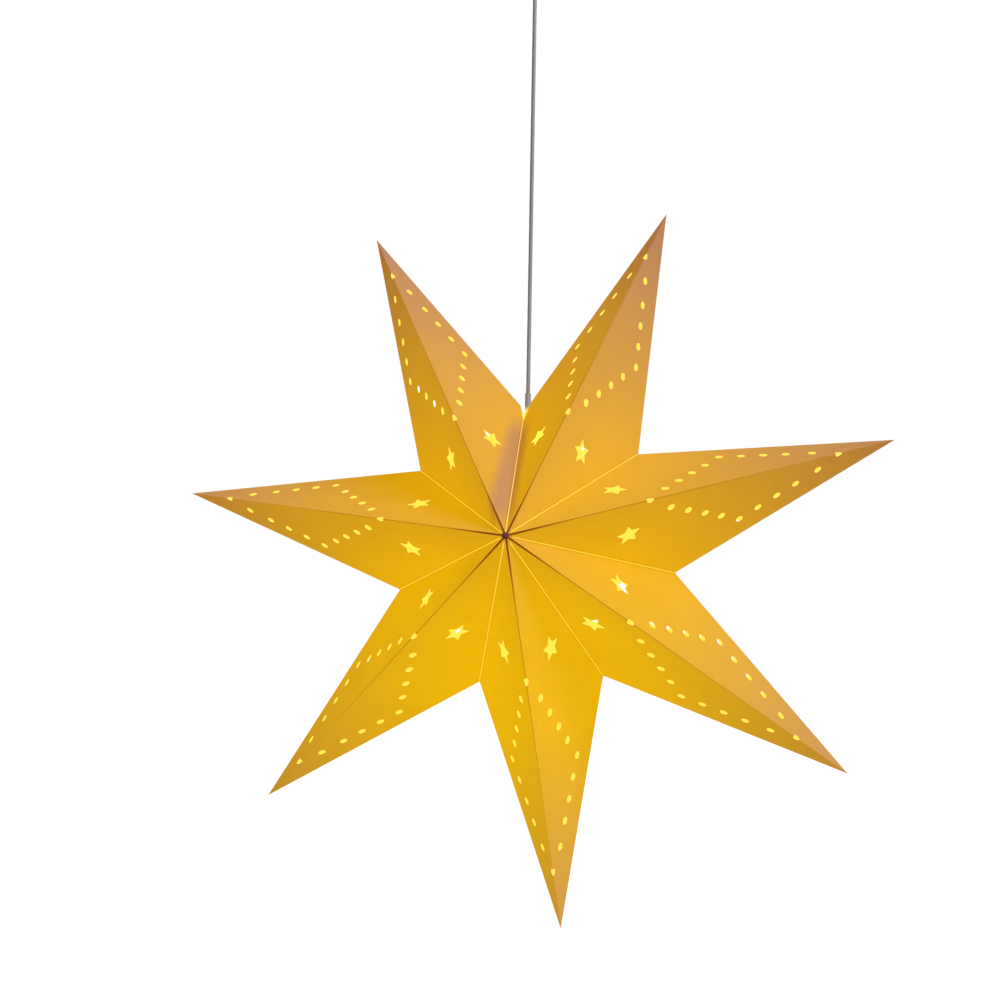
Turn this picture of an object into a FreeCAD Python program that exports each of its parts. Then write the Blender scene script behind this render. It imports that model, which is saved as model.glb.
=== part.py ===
import FreeCAD, Part
import math
import os

# Seven-pointed folded card star on a cord, with its lampholder, bulb and ceiling rose.
# Millimetres, +Z up. The origin is on the ceiling face of the rose, on the line of the cord.
# The star's own frame has its centre as origin, its front towards -Y and its closing seam up.

# Star: driving sizes
POINT_COUNT = 7
TIP_RADIUS = 350.0
NOTCH_RADIUS = 135.3
HUB_DEPTH = 165.7
# How far both hubs stand off the star's axis, sideways and up
HUB_SIDE_SHIFT = -4.3
HUB_RISE = 2.9
CARD = 0.4
# How far each tip stands off its even place, sideways and clockwise as seen from the front
TIP_LEANS = (-3.0, -2.0, 2.0, -4.5, -3.0, 1.0, 14.0)
STAR_DROP = 640.0
STAR_SIDE_OFFSET = 7.6
STAR_LEAN_DEGREES = 4.4

# Star: glued flanges, closing strip and hub
FLANGE_HEIGHT = 1.8
FLANGE_HUB_GAP = 7.0
FLANGE_NOTCH_GAP = 1.5
CLOSING_STRIP = 0.8
STRIP_SETBACK = 0.3
HUB_HOLE_RADIUS = 2.4
HUB_THREAD_RADIUS = 0.6
HUB_THREAD_SEAT = 0.36
HUB_KNOT_RADIUS = 2.1

# Star: opening for the cord at the top notch
OPENING_SEAM_CUT = 20.0
OPENING_LEFT_CLEARANCE = 4.0
OPENING_RIGHT_CLEARANCE = 0.9

# Star: punched holes, placed on each face along its ridge and across from it
DOT_DIAMETER = 7.0
RIDGE_DOTS = (133.6, 327.7)
CORNER_DOT_ALONG = 238.6
CORNER_DOT_ACROSS = 57.9
INNER_ROW_ANGLE = 27.0
INNER_ROW_FIRST = 25.0
INNER_ROW_PITCH = 22.1
INNER_ROW_COUNT = 4
OUTER_ROW_ANGLE = 30.7
OUTER_ROW_PITCH = 19.9
OUTER_ROW_LAST = 23.4
OUTER_ROW_COUNT = 4
STAR_HOLE_ALONG = 120.2
STAR_HOLE_ACROSS = 39.8
STAR_HOLE_RADIUS = 11.5
STAR_HOLE_INNER_RADIUS = 5.7
STAR_HOLE_TURN = 42.0
PUNCH_REACH = 2.0

# Cord
CORD_DIAMETER = 4.0
CORD_CLEARANCE = 0.15
CORE_DIAMETER = 1.3
CORE_GAP = 0.4
# Where a core's two bends lie between its sheath and its terminal
CORE_BENDS = (0.3, 0.65)
CORD_RUN_SHARE = 0.45

# Lampholder, on the line of the cord and seated under the star's top notch
HOLDER_RADIUS = 14.0
HOLDER_WALL = 1.4
HOLDER_SEAT_CLEARANCE = 0.3
HOLDER_DOME_LENGTH = 28.0
HOLDER_BODY_LENGTH = 37.0
HOLDER_JOINT_LAP = 6.0
HOLDER_NECK_WALL = 3.0
GRIP_COLLAR_RADIUS = 5.6
GRIP_COLLAR_HEIGHT = 1.4
GRIP_CONE_HEIGHT = 2.8
GRIP_NOSE_RADIUS = 2.9
GRIP_NOSE_LENGTH = 18.0
GRIP_SHANK_RADIUS = 4.4
GRIP_SHANK_LENGTH = 9.0
GRIP_NUT_RADIUS = 6.6
GRIP_NUT_HEIGHT = 3.0
SHEATH_BELOW_GRIP = 2.0
FIT_CLEARANCE = 0.15
INSERT_LENGTH = 12.0
CORE_ENTRY_SPACING = 9.0
CORE_ENTRY_DEPTH = 5.0
THREAD_SHELL_RADIUS = 7.5
THREAD_SHELL_WALL = 0.4
THREAD_SHELL_LENGTH = 22.0
THREAD_PITCH = 2.8
THREAD_DEPTH = 0.5
CONTACT_WIDTH = 4.0
CONTACT_THICKNESS = 0.5
CONTACT_DROP = 2.5
CONTACT_REACH = 4.5

# Bulb
BULB_BUTTON_RADIUS = 2.4
BULB_BUTTON_HEIGHT = 1.5
BULB_CAP_LENGTH = 19.0
BULB_NECK_RADIUS = 9.5
BULB_COLLAR_LENGTH = 24.0
BULB_RADIUS = 17.5
BULB_DOME_LENGTH = 54.0

# Ceiling rose
ROSE_RADIUS = 48.0
ROSE_FLAT_RADIUS = 12.0
ROSE_SKIRT = 14.0
ROSE_WALL = 1.6
PLATE_THICKNESS = 2.0
PLATE_WIDTH = 26.0
PLATE_END_GAP = 0.3
LUG_HEIGHT = 12.0
MOUNT_HOLE_SPACING = 60.0
MOUNT_HOLE_RADIUS = 2.25
SUPPLY_HOLE_RADIUS = 6.0
SUPPLY_HOLE_OFFSET = -13.0
COVER_SCREW_DROP = 7.0
COVER_SCREW_RADIUS = 1.5
COVER_SCREW_HEAD_RADIUS = 2.8
COVER_SCREW_HEAD = 1.6
COVER_SCREW_END = 1.5
ROSE_GRIP_SHANK_RADIUS = 5.0
ROSE_GRIP_FLANGE_RADIUS = 8.0
ROSE_GRIP_FLANGE = 3.0
ROSE_GRIP_NOSE_RADIUS = 4.2
ROSE_GRIP_TIP_RADIUS = 3.0
ROSE_GRIP_NOSE_LENGTH = 12.0
ROSE_NUT_RADIUS = 8.5
ROSE_NUT_HEIGHT = 4.0
ROSE_SHANK_END = 1.0
SHEATH_ABOVE_GRIP = 3.0
TERMINAL_OFFSET = 8.0
TERMINAL_LENGTH = 20.0
TERMINAL_WIDTH = 15.0
TERMINAL_HEIGHT = 13.0
TERMINAL_PITCH = 9.0
TERMINAL_SCREW_RADIUS = 1.6
TERMINAL_SCREW_LENGTH = 4.5
TERMINAL_SCREW_RISE = 3.0


def vector(x, y, z):
    return FreeCAD.Vector(x, y, z)


def unit(direction):
    return direction.multiply(1.0 / direction.Length)


def solid_from_loops(loops):
    """A closed solid from the corner loops of its flat faces."""
    faces = [Part.Face(Part.makePolygon(list(loop) + [loop[0]])) for loop in loops]
    solid = Part.Solid(Part.makeShell(faces))
    if solid.Volume < 0:
        solid.reverse()
    return solid


def prism(loop, depth_vector):
    """A flat loop pushed along a vector."""
    return Part.Face(Part.makePolygon(list(loop) + [loop[0]])).extrude(depth_vector)


def turned(profile):
    """A solid turned about the Z axis from (radius, height) points."""
    points = [vector(radius, 0, height) for radius, height in profile]
    face = Part.Face(Part.makePolygon(points + [points[0]]))
    return face.revolve(vector(0, 0, 0), vector(0, 0, 1), 360)


def rod(radius, low, high, x=0.0, y=0.0):
    """An upright round rod between two heights."""
    return Part.makeCylinder(radius, high - low, vector(x, y, low), vector(0, 0, 1))


def box(low, high):
    return Part.makeBox(high[0] - low[0], high[1] - low[1], high[2] - low[2], vector(*low))


# Star geometry
STEP_ANGLE = 360.0 / POINT_COUNT
STAR_PLACE = FreeCAD.Placement(
    vector(STAR_SIDE_OFFSET, 0, -STAR_DROP),
    FreeCAD.Rotation(vector(0, 1, 0), -STAR_LEAN_DEGREES))


def hub(side):
    """The hub corner: side -1 is the front, +1 the back, 0 half way between them."""
    return vector(HUB_SIDE_SHIFT, side * HUB_DEPTH, HUB_RISE)


def outward(angle):
    """Direction away from the star's axis; 0 degrees is up, 90 is to the right."""
    return vector(math.sin(math.radians(angle)), 0, math.cos(math.radians(angle)))


def sideways(angle):
    return vector(math.cos(math.radians(angle)), 0, -math.sin(math.radians(angle)))


def tip(number):
    angle = (number - 0.5) * STEP_ANGLE
    lean = TIP_LEANS[(number - 1) % len(TIP_LEANS)]
    return outward(angle) * TIP_RADIUS + sideways(angle) * lean


def notch(number):
    return outward(number * STEP_ANGLE) * NOTCH_RADIUS


def seam_outward(number):
    """Direction from the hubs' axis to a notch, along a seam's plane."""
    return unit(notch(number) - hub(0))


def seam_sideways(number):
    """Direction across a seam's plane, clockwise as seen from the front."""
    out = seam_outward(number)
    return vector(out.z, 0, -out.x)


def seam_length(number):
    return (notch(number) - hub(1)).Length


def face_normal(side, point_tip, point_notch):
    """Outward normal of the face between a hub, a tip and a notch."""
    normal = unit((point_tip - hub(side)).cross(point_notch - hub(side)))
    if normal.y * side < 0:
        normal = normal * -1.0
    return normal


def inner_tip(point_tip, left_notch, right_notch):
    """Where the inner faces of a point meet, a card's thickness inside the tip."""
    left = face_normal(-1, point_tip, left_notch)
    right = face_normal(-1, point_tip, right_notch)
    spread = left.x * right.z - left.z * right.x
    x = (-CARD * right.z + CARD * left.z) / spread
    z = (-CARD * left.x + CARD * right.x) / spread
    return point_tip + vector(x, 0, z)


def folded_walls(point_tip, left_notch, right_notch):
    """Four card faces folded about the two ridges and the two outline edges."""
    front, back = hub(-1), hub(1)
    outside = solid_from_loops([
        (front, point_tip, left_notch), (front, right_notch, point_tip),
        (back, left_notch, point_tip), (back, point_tip, right_notch),
        (front, left_notch, back), (front, back, right_notch)])
    apex = inner_tip(point_tip, left_notch, right_notch)
    reach = 2.0
    rays = [apex + (corner - point_tip) * reach for corner in (front, left_notch, back, right_notch)]
    loops = [(apex, rays[i], rays[(i + 1) % 4]) for i in range(4)]
    centre = (rays[0] + rays[2]) * 0.5
    loops += [(centre, rays[(i + 1) % 4], rays[i]) for i in range(4)]
    return outside.cut(solid_from_loops(loops))


def face_frame(side, point_tip, point_notch):
    """Axes on a face: along its ridge, across it towards the notch, and out of it."""
    along = unit(point_tip - hub(side))
    to_notch = point_notch - hub(side)
    across = unit(to_notch - along * to_notch.dot(along))
    return along, across, face_normal(side, point_tip, point_notch)


def dot_places():
    """Centres of the round holes of one face: an inner and an outer row from a corner dot."""
    places = [(CORNER_DOT_ALONG, CORNER_DOT_ACROSS)]
    inner = math.radians(INNER_ROW_ANGLE)
    for index in range(INNER_ROW_COUNT):
        distance = INNER_ROW_FIRST + index * INNER_ROW_PITCH
        places.append((CORNER_DOT_ALONG - distance * math.cos(inner),
                       CORNER_DOT_ACROSS - distance * math.sin(inner)))
    outer = math.radians(OUTER_ROW_ANGLE)
    for index in range(OUTER_ROW_COUNT):
        distance = (index + 1) * OUTER_ROW_PITCH
        if index == OUTER_ROW_COUNT - 1:
            distance += OUTER_ROW_LAST - OUTER_ROW_PITCH
        places.append((CORNER_DOT_ALONG + distance * math.cos(outer),
                       CORNER_DOT_ACROSS - distance * math.sin(outer)))
    return places


def star_loop(centre, along, across):
    """Corner points of one five-pointed hole."""
    loop = []
    for index in range(10):
        angle = math.radians(STAR_HOLE_TURN + index * 36.0)
        radius = STAR_HOLE_INNER_RADIUS if index % 2 else STAR_HOLE_RADIUS
        loop.append(centre + along * (radius * math.cos(angle)) + across * (radius * math.sin(angle)))
    return loop


def punches(point_tip, notches):
    """Cutters for every hole of one point, front and back."""
    tools = []
    for side in (-1, 1):
        for point_notch in notches:
            along, across, normal = face_frame(side, point_tip, point_notch)
            start = hub(side) - normal * PUNCH_REACH
            for u, v in dot_places():
                centre = start + along * u + across * v
                tools.append(Part.makeCylinder(DOT_DIAMETER / 2, 2 * PUNCH_REACH, centre, normal))
            centre = start + along * STAR_HOLE_ALONG + across * STAR_HOLE_ACROSS
            tools.append(prism(star_loop(centre, along, across), normal * (2 * PUNCH_REACH)))
        ridge = unit(point_tip - hub(side))
        for distance in RIDGE_DOTS:
            tools.append(Part.makeSphere(DOT_DIAMETER / 2, hub(side) + ridge * distance))
    return tools


def seam_flange(side, number, into_point, gap, thickness, height, root):
    """A thin strip that stands out of a valley, in the plane through the star's axis."""
    end = notch(number)
    valley = unit(end - hub(side))
    out = unit(vector(0, side, 0) - valley * (side * valley.y))
    begin = hub(side) + valley * FLANGE_HUB_GAP
    finish = end - valley * FLANGE_NOTCH_GAP
    if number % POINT_COUNT == 0:
        finish = end - valley * OPENING_SEAM_CUT
    offset = into_point * gap
    loop = [begin - out * root + offset,
            finish - out * root + offset,
            finish - valley * height + out * height + offset,
            begin + valley * height + out * height + offset]
    return prism(loop, into_point * thickness)


def opening_cutter(point_tip, cord_distance):
    """Cuts a notch corner away, from the seam to where the outline stands clear of the cord."""
    top = notch(0)
    seam_point = top + (hub(0) - top) * (OPENING_SEAM_CUT / seam_length(0))
    edge = unit(point_tip - top)
    along_x = STAR_PLACE.Rotation.multVec(edge).x
    outline_point = top + edge * ((cord_distance - STAR_PLACE.multVec(top).x) / along_x)
    beyond = seam_point + (outline_point - seam_point) * 2.0
    cap = seam_point + seam_outward(0) * (beyond - seam_point).Length
    across = vector(0, HUB_DEPTH, 0)
    return prism([corner - across for corner in (seam_point, beyond, cap)], across * 2.0)


def paper_point(number):
    """One folded card point with its flanges and holes."""
    last = number == POINT_COUNT
    point_tip = tip(number)
    left_notch, right_notch = notch(number - 1), notch(number)
    walls = folded_walls(point_tip, left_notch, right_notch)
    sides = (
        (number - 1, seam_sideways(number - 1), number == 1),
        (number, seam_sideways(number) * -1.0, last))
    for seam, into_point, closing in sides:
        gap = CLOSING_STRIP / 2 if closing else 0.0
        if closing:
            reach = vector(0, TIP_RADIUS, 0)
            up = seam_outward(seam) * TIP_RADIUS
            corner = hub(0) + into_point * gap - reach - up
            loop = [corner, corner + reach * 2.0, corner + reach * 2.0 + up * 2.0, corner + up * 2.0]
            walls = walls.cut(prism(loop, into_point * (-2.0 * CLOSING_STRIP)))
        for side in (-1, 1):
            walls = walls.fuse(seam_flange(side, seam, into_point, gap, CARD, FLANGE_HEIGHT, CARD / 2))
    tools = punches(point_tip, (left_notch, right_notch))
    tools.append(Part.makeCylinder(HUB_HOLE_RADIUS, 4 * HUB_DEPTH, hub(-2), vector(0, 1, 0)))
    if number == 1:
        tools.append(opening_cutter(point_tip, GRIP_NOSE_RADIUS + OPENING_RIGHT_CLEARANCE))
    if last:
        tools.append(opening_cutter(point_tip, -GRIP_NOSE_RADIUS - OPENING_LEFT_CLEARANCE))
    return walls.cut(tools).removeSplitter()


def closing_strip(side):
    """Adhesive strip between the two flanges of the seam that closes the star."""
    return seam_flange(side, 0, seam_sideways(0), -CLOSING_STRIP / 2, CLOSING_STRIP,
                       FLANGE_HEIGHT - STRIP_SETBACK, CARD)


def hub_tie(side):
    """Thread ring that gathers the corners at a hub, just outside the card, with its knot."""
    place = hub(side) - vector(0, side * HUB_THREAD_SEAT, 0)
    ring = Part.makeTorus(HUB_HOLE_RADIUS, HUB_THREAD_RADIUS, place, vector(0, 1, 0))
    return ring.fuse(Part.makeSphere(HUB_KNOT_RADIUS, place))


def placed(shape):
    """Moves a shape from the star's frame to the frame of the ceiling mount."""
    moved = shape.copy()
    moved.Placement = STAR_PLACE.multiply(moved.Placement)
    return moved


# Lampholder heights, from the seams that it carries down to the bulb
SEAM_SLOPE = HUB_DEPTH / (notch(0) - hub(0)).Length
SEAM_WALL_DEPTH = CARD / abs(face_normal(-1, tip(1), notch(0)).y)
SEAT_RADIUS = HOLDER_RADIUS + HOLDER_SEAT_CLEARANCE + SEAM_WALL_DEPTH
SHOULDER_Z = STAR_PLACE.multVec(notch(0) - seam_outward(0) * (SEAT_RADIUS / SEAM_SLOPE)).z
NECK_Z = SHOULDER_Z + (HOLDER_RADIUS - GRIP_COLLAR_RADIUS) / SEAM_SLOPE
NOSE_TOP_Z = NECK_Z + GRIP_COLLAR_HEIGHT + GRIP_CONE_HEIGHT + GRIP_NOSE_LENGTH
SHANK_END_Z = NECK_Z - GRIP_SHANK_LENGTH
JOINT_Z = SHOULDER_Z - HOLDER_DOME_LENGTH
MOUTH_Z = JOINT_Z - HOLDER_BODY_LENGTH
INSERT_END_Z = JOINT_Z - INSERT_LENGTH
BULB_TOP_Z = INSERT_END_Z - CONTACT_DROP
SHEATH_END_Z = SHANK_END_Z - SHEATH_BELOW_GRIP
HOLDER_BORE = HOLDER_RADIUS - HOLDER_WALL
SPIGOT_RADIUS = HOLDER_BORE - FIT_CLEARANCE
CORD_RADIUS = CORD_DIAMETER / 2
CORD_BORE = CORD_RADIUS + CORD_CLEARANCE

# Ceiling rose heights
ROSE_BOWL_RADIUS = ROSE_RADIUS - ROSE_FLAT_RADIUS
ROSE_BOTTOM_Z = -(ROSE_SKIRT + ROSE_BOWL_RADIUS)
ROSE_FLOOR_Z = ROSE_BOTTOM_Z + ROSE_WALL
ROSE_SHANK_TOP_Z = ROSE_FLOOR_Z + ROSE_NUT_HEIGHT + ROSE_SHANK_END
ROSE_NOSE_END_Z = ROSE_BOTTOM_Z - ROSE_GRIP_FLANGE - ROSE_GRIP_NOSE_LENGTH
CORD_TOP_Z = ROSE_SHANK_TOP_Z + SHEATH_ABOVE_GRIP
TERMINAL_END_Z = -PLATE_THICKNESS - TERMINAL_HEIGHT
TERMINAL_SCREW_Z = TERMINAL_END_Z + TERMINAL_SCREW_RISE
STRAP_REACH = math.sqrt((ROSE_RADIUS - ROSE_WALL - PLATE_END_GAP) ** 2 - (PLATE_WIDTH / 2) ** 2)


def holder_dome():
    """Upper half of the lampholder; its shoulder slopes like the seams that rest on it."""
    cavity_top = NECK_Z - HOLDER_NECK_WALL
    cavity_radius = GRIP_COLLAR_RADIUS + HOLDER_NECK_WALL * SEAM_SLOPE - HOLDER_WALL * SEAM_SLOPE
    return turned([
        (GRIP_SHANK_RADIUS + FIT_CLEARANCE, NECK_Z), (GRIP_COLLAR_RADIUS, NECK_Z),
        (HOLDER_RADIUS, SHOULDER_Z), (HOLDER_RADIUS, JOINT_Z), (HOLDER_BORE, JOINT_Z),
        (HOLDER_BORE, cavity_top - (HOLDER_BORE - cavity_radius) / SEAM_SLOPE),
        (cavity_radius, cavity_top), (GRIP_SHANK_RADIUS + FIT_CLEARANCE, cavity_top)])


def holder_body():
    """Lower half of the lampholder, a sleeve with a spigot that fits the dome."""
    ledge_radius = SPIGOT_RADIUS - HOLDER_WALL
    top = JOINT_Z + HOLDER_JOINT_LAP
    return turned([
        (HOLDER_RADIUS, JOINT_Z), (HOLDER_RADIUS, MOUTH_Z), (HOLDER_BORE, MOUTH_Z),
        (HOLDER_BORE, JOINT_Z), (ledge_radius, JOINT_Z), (ledge_radius, top),
        (SPIGOT_RADIUS, top), (SPIGOT_RADIUS, JOINT_Z)])


def holder_cord_grip():
    """Threaded bush with a slim nose that leads the cord out through the notch."""
    cone_z = NECK_Z + GRIP_COLLAR_HEIGHT
    nose_z = cone_z + GRIP_CONE_HEIGHT
    return turned([
        (CORD_BORE, SHANK_END_Z), (GRIP_SHANK_RADIUS, SHANK_END_Z), (GRIP_SHANK_RADIUS, NECK_Z),
        (GRIP_COLLAR_RADIUS, NECK_Z), (GRIP_COLLAR_RADIUS, cone_z), (GRIP_NOSE_RADIUS, nose_z),
        (GRIP_NOSE_RADIUS, NOSE_TOP_Z), (CORD_BORE, NOSE_TOP_Z)])


def hexagon_nut(radius, bore, low, height):
    """A six-sided nut whose corners lie on a circle."""
    loop = [vector(radius * math.cos(math.radians(60 * k)), radius * math.sin(math.radians(60 * k)), low)
            for k in range(6)]
    return prism(loop, vector(0, 0, height)).cut(rod(bore, low - height, low + 2 * height))


def core_places(spacing):
    return (-spacing / 2, spacing / 2)


def rounded_path(points):
    """Straight runs joined by tangent arcs, as large as their two runs allow."""
    edges = []
    start = points[0]
    radii = []
    for index in range(1, len(points) - 1):
        before, corner, after = points[index - 1], points[index], points[index + 1]
        arrive, leave = corner - before, after - corner
        shorter = min(arrive.Length, leave.Length)
        turn = arrive.getAngle(leave)
        trim = CORD_RUN_SHARE * shorter
        radius = trim / math.tan(turn / 2)
        radii.append(round(radius, 2))
        arrive, leave = unit(arrive), unit(leave)
        first, last = corner - arrive * trim, corner + leave * trim
        inward = unit(leave - arrive)
        centre = corner + inward * (radius / math.cos(turn / 2))
        middle = centre - inward * radius
        edges.append(Part.LineSegment(start, first).toShape())
        edges.append(Part.Arc(first, middle, last).toShape())
        start = last
    edges.append(Part.LineSegment(start, points[-1]).toShape())
    return Part.Wire(edges), radii


def tube(points, diameter):
    """A round solid that follows a path; its volume is checked against its length."""
    path, radii = rounded_path(points)
    ring = Part.Wire(Part.makeCircle(diameter / 2, points[0], points[1] - points[0]))
    solid = path.makePipeShell([ring], True, True)
    expected = math.pi * diameter ** 2 / 4 * path.Length
    print("tube length %.1f arc radii %s volume over section times length %.4f"
          % (path.Length, radii, solid.Volume / expected))
    return solid


def core_pair(start_z, end_z, start_spacing, end_spacing, end_offset):
    """Two insulated cores that spread from the end of the sheath to their terminals."""
    rise = end_z - start_z
    cores = []
    for begin, end in zip(core_places(start_spacing), core_places(end_spacing)):
        finish = end + end_offset
        cores.append(tube([
            vector(begin, 0, start_z), vector(begin, 0, start_z + rise * CORE_BENDS[0]),
            vector(finish, 0, start_z + rise * CORE_BENDS[1]), vector(finish, 0, end_z)], CORE_DIAMETER))
    return Part.makeCompound(cores)


def holder_insert():
    """Contact block: a disc with an entry for each core."""
    block = rod(HOLDER_BORE - FIT_CLEARANCE, INSERT_END_Z, JOINT_Z)
    for x in core_places(CORE_ENTRY_SPACING):
        entry = rod(CORE_DIAMETER / 2 + FIT_CLEARANCE, JOINT_Z - CORE_ENTRY_DEPTH, JOINT_Z + 1, x)
        block = block.cut(entry)
    return block


def ripple(radius, top, length):
    """Outline of a rolled thread: crests at the radius, roots a thread's depth inside."""
    turns = max(1, int(length / THREAD_PITCH))
    outline = [(radius, top)]
    for turn in range(turns):
        crest = top - (turn + 0.25) * length / turns
        root = top - (turn + 0.75) * length / turns
        outline += [(radius, crest), (radius - THREAD_DEPTH, root)]
    outline.append((radius, top - length))
    return outline


def holder_thread_shell():
    """Rolled metal sleeve that the bulb screws into."""
    outer = ripple(THREAD_SHELL_RADIUS, INSERT_END_Z, THREAD_SHELL_LENGTH)
    inner = ripple(THREAD_SHELL_RADIUS - THREAD_SHELL_WALL, INSERT_END_Z, THREAD_SHELL_LENGTH)
    return turned(outer + inner[::-1])


def holder_centre_contact():
    """Bent spring strip between the contact block and the bulb's button."""
    half, t = CONTACT_WIDTH / 2, CONTACT_THICKNESS
    top, low = INSERT_END_Z, BULB_TOP_Z
    loop = [(CONTACT_REACH, top), (CONTACT_REACH, top - t), (t, low), (-t, low), (-t, low + t),
            (0, low + t), (CONTACT_REACH - 2 * t, top)]
    return prism([vector(x, -half, z) for x, z in loop], vector(0, 2 * half, 0))


def bulb():
    """Frosted candle-shaped bulb with its screw cap and collar, as one closed solid."""
    cap_top = BULB_TOP_Z - BULB_BUTTON_HEIGHT
    cap_radius = THREAD_SHELL_RADIUS - THREAD_SHELL_WALL - FIT_CLEARANCE
    thread = [(r, z) for r, z in ripple(cap_radius, INSERT_END_Z, THREAD_SHELL_LENGTH)
              if cap_top > z > cap_top - BULB_CAP_LENGTH]
    collar_top = cap_top - BULB_CAP_LENGTH
    dome_z = collar_top - BULB_COLLAR_LENGTH
    outline = [(0, BULB_TOP_Z), (BULB_BUTTON_RADIUS, BULB_TOP_Z), (cap_radius - 2 * THREAD_DEPTH, cap_top)]
    outline += thread
    outline += [(cap_radius - THREAD_DEPTH, collar_top), (BULB_NECK_RADIUS, collar_top)]
    outline += [(BULB_RADIUS, dome_z)]
    points = [vector(radius, 0, height) for radius, height in outline]
    edges = [Part.LineSegment(a, b).toShape() for a, b in zip(points, points[1:])]
    centre = vector(0, 0, dome_z)
    tip_point = vector(0, 0, dome_z - BULB_DOME_LENGTH)
    ellipse = Part.Ellipse(tip_point, points[-1], centre)
    ends = sorted((ellipse.parameter(tip_point), ellipse.parameter(points[-1])))
    if ends[1] - ends[0] > math.pi:
        ends = [ends[1], ends[0] + 2 * math.pi]
    edges.append(Part.ArcOfEllipse(ellipse, ends[0], ends[1]).toShape())
    edges.append(Part.LineSegment(tip_point, points[0]).toShape())
    face = Part.Face(Part.Wire(Part.__sortEdges__(edges)))
    return face.revolve(vector(0, 0, 0), vector(0, 0, 1), 360)


def bowl(radius, flat_radius, skirt, top):
    """A turned bowl: a straight skirt, then a quarter circle to a flat bottom."""
    curve = radius - flat_radius
    low = top - skirt
    middle = math.sqrt(0.5) * curve
    edges = [
        Part.LineSegment(vector(0, 0, top), vector(radius, 0, top)).toShape(),
        Part.LineSegment(vector(radius, 0, top), vector(radius, 0, low)).toShape(),
        Part.Arc(vector(radius, 0, low), vector(flat_radius + middle, 0, low - middle),
                 vector(flat_radius, 0, low - curve)).toShape(),
        Part.LineSegment(vector(flat_radius, 0, low - curve), vector(0, 0, low - curve)).toShape(),
        Part.LineSegment(vector(0, 0, low - curve), vector(0, 0, top)).toShape()]
    return Part.Face(Part.Wire(edges)).revolve(vector(0, 0, 0), vector(0, 0, 1), 360)


def side_rod(radius, start_x, end_x, height):
    """A round rod along X between two distances from the centre."""
    length = end_x - start_x
    return Part.makeCylinder(radius, abs(length), vector(start_x, 0, height),
                             vector(math.copysign(1, length), 0, 0))


def rose_cover():
    cover = bowl(ROSE_RADIUS, ROSE_FLAT_RADIUS, ROSE_SKIRT, 0)
    hollow = bowl(ROSE_RADIUS - ROSE_WALL, ROSE_FLAT_RADIUS, ROSE_SKIRT + 1, 1)
    cover = cover.cut(hollow)
    cover = cover.cut(rod(ROSE_GRIP_SHANK_RADIUS + FIT_CLEARANCE, ROSE_BOTTOM_Z - 1, ROSE_FLOOR_Z + 1))
    for way in (-1, 1):
        cover = cover.cut(side_rod(COVER_SCREW_RADIUS + FIT_CLEARANCE, way * (ROSE_RADIUS / 2),
                                   way * (ROSE_RADIUS + 1), -COVER_SCREW_DROP))
    return cover


def rose_plate():
    """Steel strap for the ceiling, its ends bent down to take the cover's screws."""
    half = PLATE_WIDTH / 2
    plate = box((-STRAP_REACH, -half, -PLATE_THICKNESS), (STRAP_REACH, half, 0))
    for way in (-1, 1):
        near, far = sorted((way * (STRAP_REACH - PLATE_THICKNESS), way * STRAP_REACH))
        lug = box((near, -half, -LUG_HEIGHT), (far, half, -PLATE_THICKNESS))
        plate = plate.fuse(lug)
        plate = plate.cut(rod(MOUNT_HOLE_RADIUS, -PLATE_THICKNESS - 1, 1, way * MOUNT_HOLE_SPACING / 2))
        plate = plate.cut(side_rod(COVER_SCREW_RADIUS + FIT_CLEARANCE, way * (ROSE_RADIUS / 2),
                                   way * ROSE_RADIUS, -COVER_SCREW_DROP))
    plate = plate.cut(rod(SUPPLY_HOLE_RADIUS, -PLATE_THICKNESS - 1, 1, SUPPLY_HOLE_OFFSET))
    return plate.removeSplitter()


def cover_screws():
    """The two screws that hold the cover to the strap's bent ends."""
    screws = []
    for way in (-1, 1):
        shank = side_rod(COVER_SCREW_RADIUS, way * (STRAP_REACH - PLATE_THICKNESS - COVER_SCREW_END),
                         way * ROSE_RADIUS, -COVER_SCREW_DROP)
        head = side_rod(COVER_SCREW_HEAD_RADIUS, way * ROSE_RADIUS,
                        way * (ROSE_RADIUS + COVER_SCREW_HEAD), -COVER_SCREW_DROP)
        screws.append(shank.fuse(head))
    return Part.makeCompound(screws)


def rose_cord_grip():
    """Bush through the bottom of the cover, with a tapered nose round the cord."""
    return turned([
        (CORD_BORE, ROSE_SHANK_TOP_Z), (ROSE_GRIP_SHANK_RADIUS, ROSE_SHANK_TOP_Z),
        (ROSE_GRIP_SHANK_RADIUS, ROSE_BOTTOM_Z), (ROSE_GRIP_FLANGE_RADIUS, ROSE_BOTTOM_Z),
        (ROSE_GRIP_FLANGE_RADIUS, ROSE_BOTTOM_Z - ROSE_GRIP_FLANGE),
        (ROSE_GRIP_NOSE_RADIUS, ROSE_BOTTOM_Z - ROSE_GRIP_FLANGE),
        (ROSE_GRIP_TIP_RADIUS, ROSE_NOSE_END_Z), (CORD_BORE, ROSE_NOSE_END_Z)])


def terminal_block():
    """Two-pole terminal under the strap, with a core entry below and a screw for each pole."""
    half = TERMINAL_WIDTH / 2
    block = box((TERMINAL_OFFSET - TERMINAL_LENGTH / 2, -half, TERMINAL_END_Z),
                (TERMINAL_OFFSET + TERMINAL_LENGTH / 2, half, -PLATE_THICKNESS))
    for x in core_places(TERMINAL_PITCH):
        place = x + TERMINAL_OFFSET
        block = block.cut(rod(CORE_DIAMETER / 2 + FIT_CLEARANCE, TERMINAL_END_Z - 1,
                              TERMINAL_END_Z + CORE_ENTRY_DEPTH, place))
        block = block.cut(terminal_screw(place, FIT_CLEARANCE))
    return block


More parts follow.
